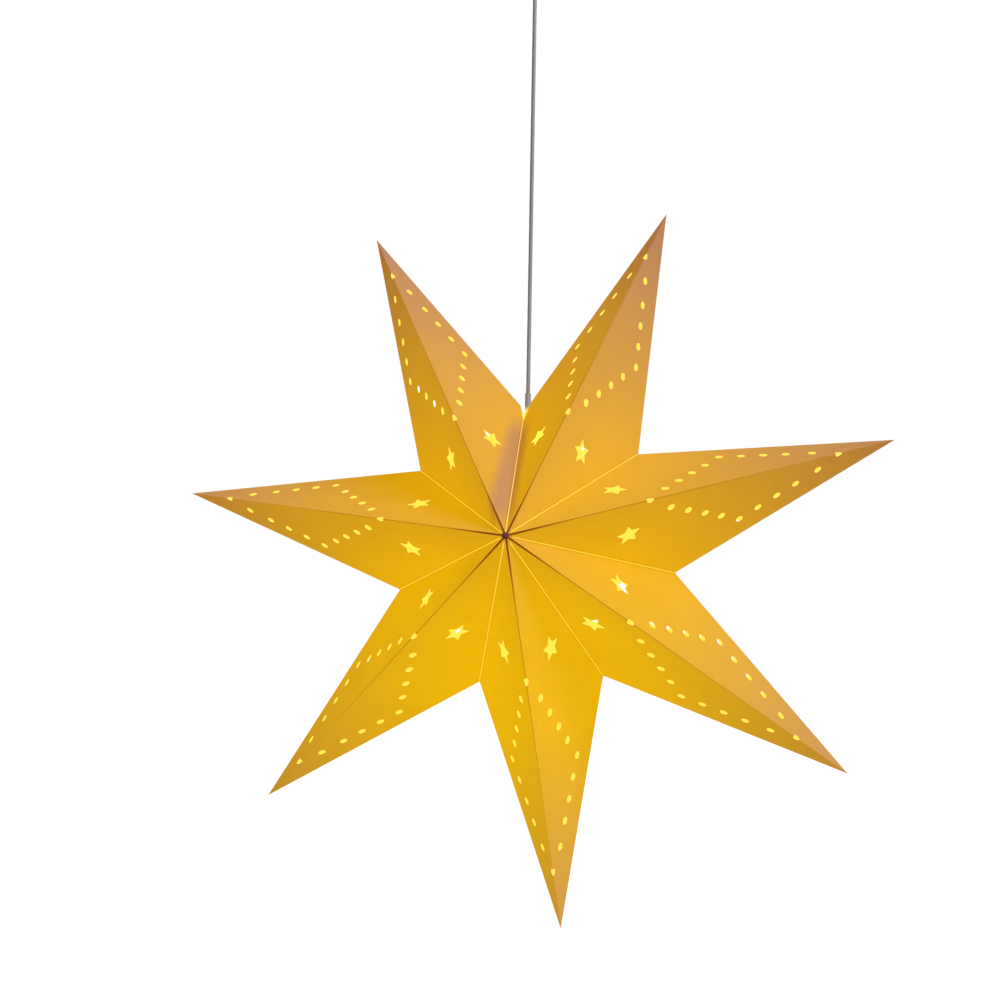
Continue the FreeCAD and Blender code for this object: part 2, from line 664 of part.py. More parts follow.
def terminal_screw(x, clearance):
    start = vector(x, -TERMINAL_WIDTH / 2, TERMINAL_SCREW_Z)
    radius = TERMINAL_SCREW_RADIUS + clearance
    return Part.makeCylinder(radius, TERMINAL_SCREW_LENGTH, start, vector(0, 1, 0))


def cord():
    """The sheathed cord, pulled straight between its two grips."""
    return rod(CORD_RADIUS, SHEATH_END_Z, CORD_TOP_Z)


nodes = {}
for number in range(1, POINT_COUNT + 1):
    nodes["paper_point_%d" % number] = placed(paper_point(number))
nodes["closing_strip_front"] = placed(closing_strip(-1))
nodes["closing_strip_back"] = placed(closing_strip(1))
nodes["hub_tie_front"] = placed(hub_tie(-1))
nodes["hub_tie_back"] = placed(hub_tie(1))
nodes["cord"] = cord()
nodes["holder_cord_grip"] = holder_cord_grip()
nodes["holder_grip_nut"] = hexagon_nut(GRIP_NUT_RADIUS, GRIP_SHANK_RADIUS + FIT_CLEARANCE,
                                       NECK_Z - HOLDER_NECK_WALL - GRIP_NUT_HEIGHT, GRIP_NUT_HEIGHT)
nodes["holder_dome"] = holder_dome()
nodes["holder_body"] = holder_body()
nodes["holder_cores"] = core_pair(SHEATH_END_Z, JOINT_Z - CORE_ENTRY_DEPTH,
                                  CORE_DIAMETER + CORE_GAP, CORE_ENTRY_SPACING, 0.0)
nodes["holder_insert"] = holder_insert()
nodes["holder_thread_shell"] = holder_thread_shell()
nodes["holder_centre_contact"] = holder_centre_contact()
nodes["bulb"] = bulb()
nodes["rose_cover"] = rose_cover()
nodes["rose_plate"] = rose_plate()
nodes["rose_cover_screws"] = cover_screws()
nodes["rose_cord_grip"] = rose_cord_grip()
nodes["rose_grip_nut"] = hexagon_nut(ROSE_NUT_RADIUS, ROSE_GRIP_SHANK_RADIUS + FIT_CLEARANCE,
                                     ROSE_FLOOR_Z, ROSE_NUT_HEIGHT)
nodes["rose_cores"] = core_pair(CORD_TOP_Z, TERMINAL_END_Z + CORE_ENTRY_DEPTH,
                                CORE_DIAMETER + CORE_GAP, TERMINAL_PITCH, TERMINAL_OFFSET)
nodes["terminal_block"] = terminal_block()
nodes["terminal_screws"] = Part.makeCompound(
    [terminal_screw(x + TERMINAL_OFFSET, 0.0) for x in core_places(TERMINAL_PITCH)])

os.makedirs("parts", exist_ok=True)
for name, shape in nodes.items():
    shape.exportStep("parts/%s.step" % name)
    print("%-24s solids %d volume %.1f valid %s" % (name, len(shape.Solids), shape.Volume, shape.isValid()))
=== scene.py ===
import math

import bmesh
import bpy
from bpy.props import FloatProperty, FloatVectorProperty, IntProperty, PointerProperty
from mathutils import Matrix, Vector


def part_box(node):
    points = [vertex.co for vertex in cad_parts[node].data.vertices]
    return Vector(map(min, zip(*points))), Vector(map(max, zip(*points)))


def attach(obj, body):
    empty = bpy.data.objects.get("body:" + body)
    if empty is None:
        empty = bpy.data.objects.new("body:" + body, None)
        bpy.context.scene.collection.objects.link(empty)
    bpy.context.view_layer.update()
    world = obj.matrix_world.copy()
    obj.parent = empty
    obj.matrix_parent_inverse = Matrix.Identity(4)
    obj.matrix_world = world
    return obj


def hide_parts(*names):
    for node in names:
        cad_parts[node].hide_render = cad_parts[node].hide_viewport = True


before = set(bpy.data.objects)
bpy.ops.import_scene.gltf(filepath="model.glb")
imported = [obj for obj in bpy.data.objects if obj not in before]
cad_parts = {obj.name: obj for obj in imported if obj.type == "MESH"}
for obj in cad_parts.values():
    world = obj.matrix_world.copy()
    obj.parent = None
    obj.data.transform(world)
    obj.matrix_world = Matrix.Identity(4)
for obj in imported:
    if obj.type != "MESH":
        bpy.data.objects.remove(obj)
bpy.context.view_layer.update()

bl_info = {
    "name": "Folded Paper Star Lantern",
    "version": (1, 0, 0),
    "blender": (4, 5, 0),
    "location": "3D View > Sidebar > Star Lantern",
    "description": "Finishes a lit paper star lantern around its packed frame",
    "category": "Object",
}

MM = 0.001
WELD_DISTANCE = 1e-6
SPLIT_DISTANCE = 1e-7
SMOOTH_ANGLE = 40

# Star geometry, in metres, as the card points were folded
POINT_COUNT = 7
STEP_ANGLE = 2 * math.pi / POINT_COUNT
TIP_RADIUS = 0.350
NOTCH_RADIUS = 0.1353
HUB_DEPTH = 0.1657
HUB_SIDE_SHIFT = -0.0043
HUB_RISE = 0.0029
CARD = 0.0004

# How far each tip leans to the side, in millimetres, and the star's place and lean in the frame
TIP_LEANS = (-3.0, -2.0, 2.0, -4.5, -3.0, 1.0, 14.0)
STAR_PLACE = Matrix.Translation((0.0076, 0, -0.640)) @ Matrix.Rotation(math.radians(-4.4), 4, "Y")

# Light that the card lets through: its centre, where it is full, where it ends and how it falls
GLOW_CENTRE = Vector((0.0, 0.0, -0.706))
GLOW_FULL = 0.116
GLOW_END = 0.390
GLOW_FALL = 0.95

# Heights between which the painted light that is added under the bulb fades out upwards
UNDER_BULB_SPAN = (-0.720, -0.610)

# Shadow of the lampholder on the card: its middle, half widths and soft ends, and how dark it is
SHADOW_X = -3.2 * MM
SHADOW_SIDE_SPAN = (4.0 * MM, 15.0 * MM)
SHADOW_FOOT_SPAN = (-0.640, -0.606)
SHADOW_HEAD_SPAN = (-0.540, -0.510)
SHADOW_DEPTH = 0.78

# Painted shade along the ridge line of a fold: its extra width near the hub, its soft edge, and how it fades
# along the ridge
CREASE_EXTRA_WIDTH = 0.9 * MM
CREASE_EDGE_SPAN = (0.35, 0.95)
CREASE_WIDE_SPAN = (0.010, 0.075)
CREASE_HUB_FADE = (0.015, 0.085, 1.0, 0.62)
CREASE_TIP_FADE = (0.13, 0.31, 1.0, 0.2)

# Depths through the card, from its printed face at 0 to its inner face at minus one card
INNER_FACE_SPAN = (-0.85 * CARD, -0.7 * CARD)
CUT_CORE_SPAN = (-0.2 * CARD, -0.1 * CARD)

# Glue flange along a valley, which gets a brighter painted light, and the shade beside it
FLANGE_SIDE_SPAN = (0.9 * CARD, 1.2 * CARD)
FLANGE_RISE_SPAN = (0.2 * CARD, 0.6 * CARD)
VALLEY_SPAN = (0.5 * MM, 3.0 * MM)
VALLEY_SHADE = 0.3

# The card's fibres, the clouds in its pulp and their slow drift: size, detail and how much they show
FIBRE_SIZE = 0.9 * MM
FIBRE_RELIEF = 0.05 * MM
FIBRE_STRENGTH = 0.25
CLOUD_SIZE = 6.0 * MM
CLOUD_DETAIL = 4.0
CLOUD_ROUGHNESS = 0.6
CLOUD_SHARES = (0.975, 1.025)
DRIFT_SIZE = 90.0 * MM
DRIFT_DETAIL = 2.0
DRIFT_SHARES = (0.97, 1.03)

# Heights between which the light on the adhesive strip fades
TAPE_LIT_SPAN = (-0.632, -0.560)

# Hub threads: the ring of two twisted plies and the knot that is wound on it
HUB_RING_RADIUS = 0.0024
THREAD_RADIUS = 0.36 * MM
PLY_OFFSET = 0.24 * MM
PLY_TWISTS = 9
RING_POINTS = 72
KNOT_WIND_RADIUS = 0.0017
KNOT_TURNS = 7
KNOT_POINTS = 120
KNOT_TILTS = (0.35, 1.25)

# Lampholder, in metres below the ceiling and from the cord's line
NECK_Z = -0.5105
SHOULDER_Z = -0.5172
JOINT_Z = -0.5452
MOUTH_Z = -0.5822
HOLDER_RADIUS = 0.014
HOLDER_BORE_RADIUS = 0.0126
HOLDER_EDGE = 0.4 * MM
NECK_RADIUS = 0.0056
NECK_BORE_RADIUS = 0.00455
BORE_SHOULDER_Z = -0.5208
BORE_TOP_RADIUS = 0.0072
BORE_TOP_Z = -0.5135
SPIGOT_RADIUS = 0.01245
SPIGOT_BORE_RADIUS = 0.01105
SPIGOT_TOP_Z = JOINT_Z + 0.006

# Grip that holds the cord in the lampholder's neck
CORD_BORE_RADIUS = 0.00215
GRIP_TOP_Z = -0.4883
GRIP_SHOULDER_Z = -0.5063
GRIP_FLANGE_Z = -0.5091
GRIP_LOW_Z = -0.5195
GRIP_RADIUS = 0.0029
GRIP_SHANK_RADIUS = 0.0044
GRIP_EDGE = 0.15 * MM

# Heights between which the bulb's light fades on the shells, the grip and the bulb's own collar
SHELL_LIT_SPAN = (-0.514, -0.506)
GRIP_LIT_SPAN = (-0.508, -0.500)
COLLAR_LIT_SPAN = (-0.600, -0.570)

# Bulb, from the contact button down to the end of its dome
BULB_TOP_Z = -0.5597
CAP_TOP_Z = -0.5612
CAP_LOW_Z = -0.5802
COLLAR_LOW_Z = -0.6042
DOME_LOW_Z = -0.6582
DOME_RADIUS = 0.0175
DOME_STEPS = 32
CAP_RADIUS = 0.00695
CAP_THREAD_DEPTH = 0.5 * MM
CAP_THREAD_TURNS = 7
ROWS_PER_TURN = 10
COLLAR_TOP_RADIUS = 0.0095
COLLAR_WAIST_RADIUS = 0.0110
COLLAR_WAIST_Z = CAP_LOW_Z - 0.006
COLLAR_EDGE = 0.5 * MM
COLLAR_EDGE_ANGLE = 8
BEAD_RADIUS = 0.0059
BUTTON_RADIUS = 0.0024
BUTTON_LOW_Z = BULB_TOP_Z - 0.4 * MM

# Cord grip of the ceiling rose, from its threaded top down to its ribbed end
ROSE_GRIP_TOP_Z = -0.0434
ROSE_FLANGE_TOP_Z = -0.050
ROSE_FLANGE_LOW_Z = -0.053
ROSE_GRIP_LOW_Z = -0.065
ROSE_THREAD_RADIUS = 0.005
ROSE_FLANGE_RADIUS = 0.008
ROSE_NOSE_RADIUS = 0.0042
ROSE_END_RADIUS = 0.003
ROSE_GRIP_EDGE = 0.2 * MM
RIB_COUNT = 4
RIB_TOP_Z = -0.0548
RIB_STEP = 2.4 * MM
RIB_RADIUS = 0.0041
RIB_TAPER = 0.24 * MM
RIB_PROFILE = ((0.0, 0.0), (-0.4 * MM, -0.3 * MM), (-0.45 * MM, -0.8 * MM), (-0.1 * MM, -1.1 * MM))

# Cover screws of the ceiling rose
SCREW_REACH = 0.048
SCREW_Z = -0.007
SCREW_RADIUS = 1.5 * MM
SCREW_LENGTH = 7.3 * MM
SCREW_STEPS = 48
HEAD_RADIUS = 2.8 * MM
HEAD_HEIGHT = 1.6 * MM
HEAD_EDGE = 0.5 * MM
SLOT_HALF_WIDTH = 0.35 * MM
SLOT_HALF_LENGTH = 1.9 * MM
SLOT_DEPTH = 0.8 * MM

# Cord
CORD_DIAMETER = 0.004
SHEATH_GRAIN = 2.0 * MM
SHEATH_SHARES = (0.97, 1.03)
CORD_TOP = (0.0, 0.0, -0.0404)
CORD_BOTTOM = (0.0, 0.0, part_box("cord")[0][2])
CORD_ROUTE = (CORD_BOTTOM, (0.0, 0.0, -0.300), CORD_TOP)

# Camera at the photograph's viewing angle: place, and the directions to its right and up
CAMERA_PLACE = (0.1195, -1.0215, -0.6932)
CAMERA_RIGHT = (0.99016, 0.13854, 0.01978)
CAMERA_UP = (-0.00601, -0.09914, 0.99506)
CAMERA_LENS = 38.67
SENSOR_WIDTH = 36.0
CAMERA_REACH = 100.0

# Stage
KEY_TOWARD = (-0.629, 0.450, -0.633)
FILL_TOWARD = (0.6, -0.7, -0.2)
SUN_ANGLE = 25
FLOOR_RADIUS = 14.0
FLOOR_STEPS = 96
FLOOR_BRIGHTNESS = 0.93


def srgb(text):
    """Linear colour of an sRGB hex value such as D9A441."""
    values = [int(text[i:i + 2], 16) / 255 for i in (0, 2, 4)]
    return tuple(v / 12.92 if v <= 0.04045 else ((v + 0.055) / 1.055) ** 2.4 for v in values) + (1.0,)


class CardSettings(bpy.types.PropertyGroup):
    glow: FloatProperty(name="Glow", description="Strength of the light that the card lets through",
                        default=1.0, min=0)
    lit: FloatVectorProperty(
        name="Lit card", description="Light that comes through near the bulb, on top of the dim card",
        subtype="COLOR", size=4, default=srgb("A68A00"))
    dim: FloatVectorProperty(
        name="Dim card", description="Colour of the light that comes through far from the bulb",
        subtype="COLOR", size=4, default=srgb("A26803"))
    # Painted light: a yellower glow added where the card hangs lower than the bulb
    under: FloatVectorProperty(
        name="Under the bulb", description="Colour that is added where the card hangs lower than the bulb",
        subtype="COLOR", size=4, default=srgb("193400"))
    # The printed face colour carries a painted sheen: it is paler and bluer than the card's print
    face: FloatVectorProperty(
        name="Printed face", description="Colour of the card's printed outside",
        subtype="COLOR", size=4, default=srgb("816E79"))
    crease_shade: FloatProperty(name="Crease width", description="Width of the dark line along a ridge",
                          default=1.25 * MM, unit="LENGTH")


class CordSettings(bpy.types.PropertyGroup):
    sheath: FloatVectorProperty(name="Sheath", description="Colour of the cord's sheath",
                                subtype="COLOR", size=4, default=srgb("A4AAB8"))
    diameter: FloatProperty(name="Diameter", description="Outside diameter of the sheath",
                            default=CORD_DIAMETER, unit="LENGTH")


class BulbSettings(bpy.types.PropertyGroup):
    strength: FloatProperty(name="Strength", description="Brightness of the frosted dome",
                            default=6.0, min=0)
    warmth: FloatVectorProperty(name="Warmth", description="Colour of the bulb's light",
                                subtype="COLOR", size=4, default=srgb("FFF1C8"))
    steps: IntProperty(name="Steps", description="Faces round a turned piece", default=96, min=24)


class StageSettings(bpy.types.PropertyGroup):
    key: FloatProperty(name="Key", description="Strength of the sun lamp on the upper right", default=2.1)
    fill: FloatProperty(name="Fill", description="Strength of the sun lamp behind on the left", default=0.6)
    ambient: FloatProperty(name="Ambient", description="Strength of the even room light", default=0.05)
    floor_height: FloatProperty(name="Floor height", description="Height of the floor below the ceiling",
                                default=-1.7, unit="LENGTH")


SETTINGS = {"card": CardSettings, "cord": CordSettings, "bulb": BulbSettings, "stage": StageSettings}


def settings(name):
    return getattr(bpy.context.scene, "star_lantern_" + name)


# Node recipes: kind, properties, the inputs in the order that they are given, and the output
PLACE = ("ShaderNodeTexCoord", {}, (), "Object")
AXIS_X = ("ShaderNodeSeparateXYZ", {}, (0,), "X")
AXIS_Y = ("ShaderNodeSeparateXYZ", {}, (0,), "Y")
AXIS_Z = ("ShaderNodeSeparateXYZ", {}, (0,), "Z")
JOIN_AXES = ("ShaderNodeCombineXYZ", {}, ("X", "Y", "Z"), 0)
NOISE = ("ShaderNodeTexNoise", {"noise_dimensions": "3D"}, ("Vector", "Scale", "Detail", "Roughness"), 0)
BUMP = ("ShaderNodeBump", {}, ("Strength", "Distance", "Height"), 0)
ADD = ("ShaderNodeMath", {"operation": "ADD"}, (0, 1), 0)
SUBTRACT = ("ShaderNodeMath", {"operation": "SUBTRACT"}, (0, 1), 0)
MULTIPLY = ("ShaderNodeMath", {"operation": "MULTIPLY"}, (0, 1), 0)
MULTIPLY_ADD = ("ShaderNodeMath", {"operation": "MULTIPLY_ADD"}, (0, 1, 2), 0)
DIVIDE = ("ShaderNodeMath", {"operation": "DIVIDE"}, (0, 1), 0)
POWER = ("ShaderNodeMath", {"operation": "POWER"}, (0, 1), 0)
ABSOLUTE = ("ShaderNodeMath", {"operation": "ABSOLUTE"}, (0,), 0)
MINIMUM = ("ShaderNodeMath", {"operation": "MINIMUM"}, (0, 1), 0)
MAXIMUM = ("ShaderNodeMath", {"operation": "MAXIMUM"}, (0, 1), 0)
OFFSET = ("ShaderNodeVectorMath", {"operation": "SUBTRACT"}, (0, 1), 0)
CROSS = ("ShaderNodeVectorMath", {"operation": "CROSS_PRODUCT"}, (0, 1), 0)
DOT = ("ShaderNodeVectorMath", {"operation": "DOT_PRODUCT"}, (0, 1), "Value")
LENGTH = ("ShaderNodeVectorMath", {"operation": "LENGTH"}, (0,), "Value")
DISTANCE = ("ShaderNodeVectorMath", {"operation": "DISTANCE"}, (0, 1), "Value")

# Their inputs are the value, the range that it comes from and the range that it goes to
STRAIGHT = ("ShaderNodeMapRange", {"interpolation_type": "LINEAR"}, (0, 1, 2, 3, 4), 0)
SMOOTH = ("ShaderNodeMapRange", {"interpolation_type": "SMOOTHSTEP"}, (0, 1, 2, 3, 4), 0)

# Their inputs are the factor and two colours, which have the sockets 6 and 7 and come out of 2
MIX = ("ShaderNodeMix", {"data_type": "RGBA", "blend_type": "MIX"}, (0, 6, 7), 2)
MIX_ADD = ("ShaderNodeMix", {"data_type": "RGBA", "blend_type": "ADD"}, (0, 6, 7), 2)
MIX_MULTIPLY = ("ShaderNodeMix", {"data_type": "RGBA", "blend_type": "MULTIPLY"}, (0, 6, 7), 2)

# A fade that falls from 1 to 0, and one that rises
FALLING = (1.0, 0.0)
RISING = (0.0, 1.0)

# Detail of a fine grain, the span in which nearly all values of a noise lie, and what they do to a surface
GRAIN_DETAIL = 3.0
NOISE_SPAN = (0.3, 0.7)
GLOSS_SHARES = (0.85, 1.15)
BUMP_STRENGTH = 0.2


def fill_inputs(node, values):
    """Fills a node's inputs with values, or links them."""
    for key, value in values.items():
        if isinstance(value, bpy.types.NodeSocket):
            node.id_data.links.new(value, node.inputs[key])
        else:
            node.inputs[key].default_value = value


def add_node(tree, recipe, *inputs):
    """Adds a node by its recipe, fills or links its inputs, and gives its output."""
    kind, properties, keys, output = recipe
    node = tree.nodes.new(kind)
    for name, value in properties.items():
        setattr(node, name, value)
    fill_inputs(node, dict(zip(keys, inputs)))
    return node.outputs[output]


def new_material(name):
    """An empty material with its Principled shader, and the tree they are in."""
    material = bpy.data.materials.new(name)
    material.use_nodes = True
    tree = material.node_tree
    return material, tree, tree.nodes["Principled BSDF"]


def grained(name, colour, roughness, grain, metallic=0.0, variation=0.03, relief=0.02 * MM):
    """A material whose colour, gloss and surface vary a little at the size of its grain."""
    material, tree, shader = new_material(name)
    noise = add_node(tree, NOISE, add_node(tree, PLACE), 1 / grain, GRAIN_DETAIL)
    shade = add_node(tree, STRAIGHT, noise, *NOISE_SPAN, 1 - variation, 1 + variation)
    gloss = [share * roughness for share in GLOSS_SHARES]
    fill_inputs(shader, {
        "Base Color": add_node(tree, MIX_MULTIPLY, 1.0, colour, shade),
        "Roughness": add_node(tree, STRAIGHT, noise, *NOISE_SPAN, *gloss),
        "Metallic": metallic,
        "Normal": add_node(tree, BUMP, BUMP_STRENGTH, relief, noise),
    })
    return material


def lit_plastic(name, colour, roughness, lit_span, glow, grain=0.5 * MM, relief=0.03 * MM):
    """Moulded plastic that the bulb's light reaches from below, with a fade at a height."""
    material, tree, shader = new_material(name)
    place = add_node(tree, PLACE)
    noise = add_node(tree, NOISE, place, 1 / grain, GRAIN_DETAIL)
    reach = add_node(tree, SMOOTH, add_node(tree, AXIS_Z, place), *lit_span, *FALLING)
    fill_inputs(shader, {
        "Base Color": colour,
        "Roughness": roughness,
        "Normal": add_node(tree, BUMP, BUMP_STRENGTH, relief, noise),
        "Emission Color": glow,
        "Emission Strength": reach,
    })
    return material


def dress(node, material):
    """Gives a node of the frame a material and leaves its mesh alone."""
    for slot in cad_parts[node].material_slots:
        slot.material = material


def add_piece(name, data, material, slot, *replaced):
    """Puts a piece into the scene on the root body, and hides the nodes that it stands for."""
    data.materials.append(material)
    piece = bpy.data.objects.new(name, data)
    bpy.context.scene.collection.objects.link(piece)
    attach(piece, "root")
    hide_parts(*replaced)
    return piece


def keep_mesh(name, mesh, material, slot, *replaced):
    """Makes a piece of a finished bmesh, smooth but for its sharp edges."""
    bmesh.ops.remove_doubles(mesh, verts=mesh.verts, dist=WELD_DISTANCE)
    bmesh.ops.recalc_face_normals(mesh, faces=mesh.faces)
    for face in mesh.faces:
        face.smooth = True
    for edge in mesh.edges:
        edge.smooth = edge.calc_face_angle(0.0) < math.radians(SMOOTH_ANGLE)
    data = bpy.data.meshes.new(name)
    mesh.to_mesh(data)
    mesh.free()
    return add_piece(name, data, material, slot, *replaced)


def tube_data(name, radius, resolution):
    """Curve data of a round tube with closed ends."""
    data = bpy.data.curves.new(name, "CURVE")
    data.dimensions = "3D"
    data.bevel_depth = radius
    data.bevel_resolution = resolution
    data.use_fill_caps = True
    return data


def add_spline(data, places):
    """Adds a NURBS spline with these places as its control points."""
    spline = data.splines.new("NURBS")
    spline.points.add(len(places) - 1)
    for point, place in zip(spline.points, places):
        point.co = (*place, 1.0)
    return spline


def turned_mesh(profile, steps):
    """A bmesh turned about the cord's line from the (radius, height) points of a closed profile."""
    mesh = bmesh.new()
    points = [mesh.verts.new((radius, 0.0, height)) for radius, height in profile]
    pairs = zip(points, points[1:] + points[:1])
    edges = [mesh.edges.new(pair) for pair in pairs if pair[0].co.x + pair[1].co.x > 0]
    bmesh.ops.spin(mesh, geom=points + edges, cent=(0, 0, 0), axis=(0, 0, 1), angle=2 * math.pi,
                   steps=steps, use_merge=True, use_duplicate=False)
    return mesh


def rounded(mesh, width, angle=35):
    """Rounds the sharp edges of a mesh."""
    sharp = [edge for edge in mesh.edges if edge.calc_face_angle(0.0) > math.radians(angle)]
    bmesh.ops.bevel(mesh, geom=sharp, offset=width, segments=3, profile=0.5, affect="EDGES", material=-1,
                    clamp_overlap=True)
    return mesh


def star_point(x, y, z):
    """A place of the star's own coordinates in the frame."""
    return STAR_PLACE @ Vector((x, y, z))


def hub_corner():
    """The back hub corner; the front one mirrors it through the star's middle plane."""
    return star_point(HUB_SIDE_SHIFT, HUB_DEPTH, HUB_RISE)


def tip_corner(number):
    angle = (number - 0.5) * STEP_ANGLE
    lean = TIP_LEANS[number - 1] * MM
    return star_point(TIP_RADIUS * math.sin(angle) + lean * math.cos(angle), 0,
                      TIP_RADIUS * math.cos(angle) - lean * math.sin(angle))


def notch_corner(number):
    angle = number * STEP_ANGLE
    return star_point(NOTCH_RADIUS * math.sin(angle), 0, NOTCH_RADIUS * math.cos(angle))


def card_masks(tree, place, number):
    """Where a card point has the painted shade of its ridge line, its cut core, inner face, glue flange and
    valley shade.
    """
    hub, tip = hub_corner(), tip_corner(number)
    notches = notch_corner(number - 1), notch_corner(number)
    depth = add_node(tree, ABSOLUTE, add_node(tree, AXIS_Y, place))
    mirrored = add_node(tree, JOIN_AXES, add_node(tree, AXIS_X, place), depth, add_node(tree, AXIS_Z, place))
    from_hub = add_node(tree, OFFSET, mirrored, hub)
    hub_distance = add_node(tree, LENGTH, from_hub)

    def line_distance(corner):
        crossed = add_node(tree, CROSS, from_hub, (corner - hub).normalized())
        return add_node(tree, LENGTH, crossed)

    near_hub = add_node(tree, SMOOTH, hub_distance, *CREASE_WIDE_SPAN, *FALLING)
    width = add_node(tree, MULTIPLY_ADD, near_hub, CREASE_EXTRA_WIDTH, settings("card").crease_shade)
    crease_shade = add_node(tree, DIVIDE, line_distance(tip), width)
    fade = add_node(tree, MULTIPLY, add_node(tree, SMOOTH, hub_distance, *CREASE_HUB_FADE),
                    add_node(tree, SMOOTH, hub_distance, *CREASE_TIP_FADE))
    crease_shade = add_node(tree, MULTIPLY, add_node(tree, SMOOTH, crease_shade, *CREASE_EDGE_SPAN, *FALLING), fade)

    heights = []
    sides = []
    for notch in notches:
        normal = (tip - hub).cross(notch - hub).normalized()
        if normal.y < 0:
            normal.negate()
        heights.append(add_node(tree, DOT, from_hub, normal))
        across = (notch - hub).cross(Vector((0, 1, 0))).normalized()
        sides.append(add_node(tree, ABSOLUTE, add_node(tree, DOT, from_hub, across)))
    height = add_node(tree, MAXIMUM, *heights)
    side = add_node(tree, MINIMUM, *sides)
    inner = add_node(tree, STRAIGHT, height, *INNER_FACE_SPAN, *FALLING)
    core = add_node(tree, MULTIPLY, add_node(tree, STRAIGHT, height, *CUT_CORE_SPAN, *FALLING),
                    add_node(tree, SUBTRACT, 1.0, inner))
    flange = add_node(tree, MULTIPLY, add_node(tree, SMOOTH, side, *FLANGE_SIDE_SPAN, *FALLING),
                      add_node(tree, SMOOTH, height, *FLANGE_RISE_SPAN, *RISING))
    valley = add_node(tree, MINIMUM, *[line_distance(notch) for notch in notches])
    shade = add_node(tree, SMOOTH, valley, *VALLEY_SPAN, *FALLING)
    return {"near_hub": near_hub, "crease_shade": crease_shade, "inner": inner, "core": core, "flange": flange,
            "valley": add_node(tree, MULTIPLY, shade, VALLEY_SHADE)}


def card_glow(tree, place):
    """Share of the bulb's light that comes through, with the lampholder's shadow taken out."""
    distance = add_node(tree, DISTANCE, place, GLOW_CENTRE)
    share = add_node(tree, STRAIGHT, distance, GLOW_FULL, GLOW_END, *FALLING)
    glow = add_node(tree, POWER, share, GLOW_FALL)
    side = add_node(tree, ABSOLUTE, add_node(tree, ADD, add_node(tree, AXIS_X, place), -SHADOW_X))
    height = add_node(tree, AXIS_Z, place)
    ends = add_node(tree, MULTIPLY, add_node(tree, SMOOTH, height, *SHADOW_FOOT_SPAN, *RISING),
                    add_node(tree, SMOOTH, height, *SHADOW_HEAD_SPAN, *FALLING))
    shadow = add_node(tree, MULTIPLY, add_node(tree, SMOOTH, side, *SHADOW_SIDE_SPAN, *FALLING), ends)
    kept = add_node(tree, SUBTRACT, 1.0, add_node(tree, MULTIPLY, shadow, SHADOW_DEPTH))
    return add_node(tree, MULTIPLY, glow, kept)


def card_formation(tree, place):
    """Faint clouds of the pulp, which light from behind brings out."""
    cloud = add_node(tree, NOISE, place, 1 / CLOUD_SIZE, CLOUD_DETAIL, CLOUD_ROUGHNESS)
    drift = add_node(tree, NOISE, place, 1 / DRIFT_SIZE, DRIFT_DETAIL)
    return add_node(tree, MULTIPLY, add_node(tree, STRAIGHT, cloud, *NOISE_SPAN, *CLOUD_SHARES),
                    add_node(tree, STRAIGHT, drift, *NOISE_SPAN, *DRIFT_SHARES))


def card_material(number):
    """Printed card lantern paper, about 300 g/m2, folded and lit from inside.
    Painted light from the bulb gives a deep orange yellow with a faint cloud of the pulp, and painted shade a
    dark line on a fold."""
    card = settings("card")
    material, tree, shader = new_material("printed_card_painted_light_%d" % number)
    place = add_node(tree, PLACE)
    masks = card_masks(tree, place, number)
    glow = card_glow(tree, place)
    low = add_node(tree, SMOOTH, add_node(tree, AXIS_Z, place), *UNDER_BULB_SPAN, *FALLING)

    light = add_node(tree, MIX, glow, card.dim, [dim + lit for dim, lit in zip(card.dim, card.lit)])
    # Painted light added where the card hangs lower than the bulb
    light = add_node(tree, MIX_ADD, add_node(tree, MULTIPLY, glow, low), light, card.under)
    light = add_node(tree, MIX_MULTIPLY, 1.0, light, card_formation(tree, place))
    # Painted shade beside each valley, and a painted dark line along each ridge, darker near the hub
    light = add_node(tree, MIX, masks["valley"], light, srgb("8A6A00"))
    crease_light = add_node(tree, MIX, masks["near_hub"], srgb("A05B03"), srgb("65270A"))
    light = add_node(tree, MIX, masks["crease_shade"], light, crease_light)
    # Painted light: the glue flange, the cut core and the card's inner face glow a brighter yellow
    light = add_node(tree, MIX, masks["flange"], light, srgb("FFD838"))
    light = add_node(tree, MIX, masks["core"], light, srgb("FFE88A"))
    light = add_node(tree, MIX, masks["inner"], light, srgb("F6E550"))

    # Base colour: pale with a painted sheen far from the bulb, and browner where the painted glow is strong
    print_sheen_and_shade = add_node(tree, MIX, glow, card.face, srgb("815927"))
    # Painted shade of the ridge line in the base colour too
    print_sheen_and_shade = add_node(tree, MIX, masks["crease_shade"], print_sheen_and_shade, srgb("5A3018"))
    print_sheen_and_shade = add_node(tree, MIX, masks["core"], print_sheen_and_shade, srgb("E8D2A0"))
    fibre = add_node(tree, NOISE, place, 1 / FIBRE_SIZE, GRAIN_DETAIL)
    fill_inputs(shader, {
        "Base Color": print_sheen_and_shade,
        "Roughness": 0.62,
        "Specular IOR Level": 0.0,
        "Emission Color": light,
        "Emission Strength": card.glow,
        "Normal": add_node(tree, BUMP, FIBRE_STRENGTH, FIBRE_RELIEF, fibre),
    })
    return material


class STAR_OT_card_points(bpy.types.Operator):
    """Gives each folded card point its printed and lit card"""
    bl_idname = "star_lantern.card_points"
    bl_label = "Card points"

    def execute(self, context):
        for number in range(1, POINT_COUNT + 1):
            dress("paper_point_%d" % number, card_material(number))
        return {"FINISHED"}


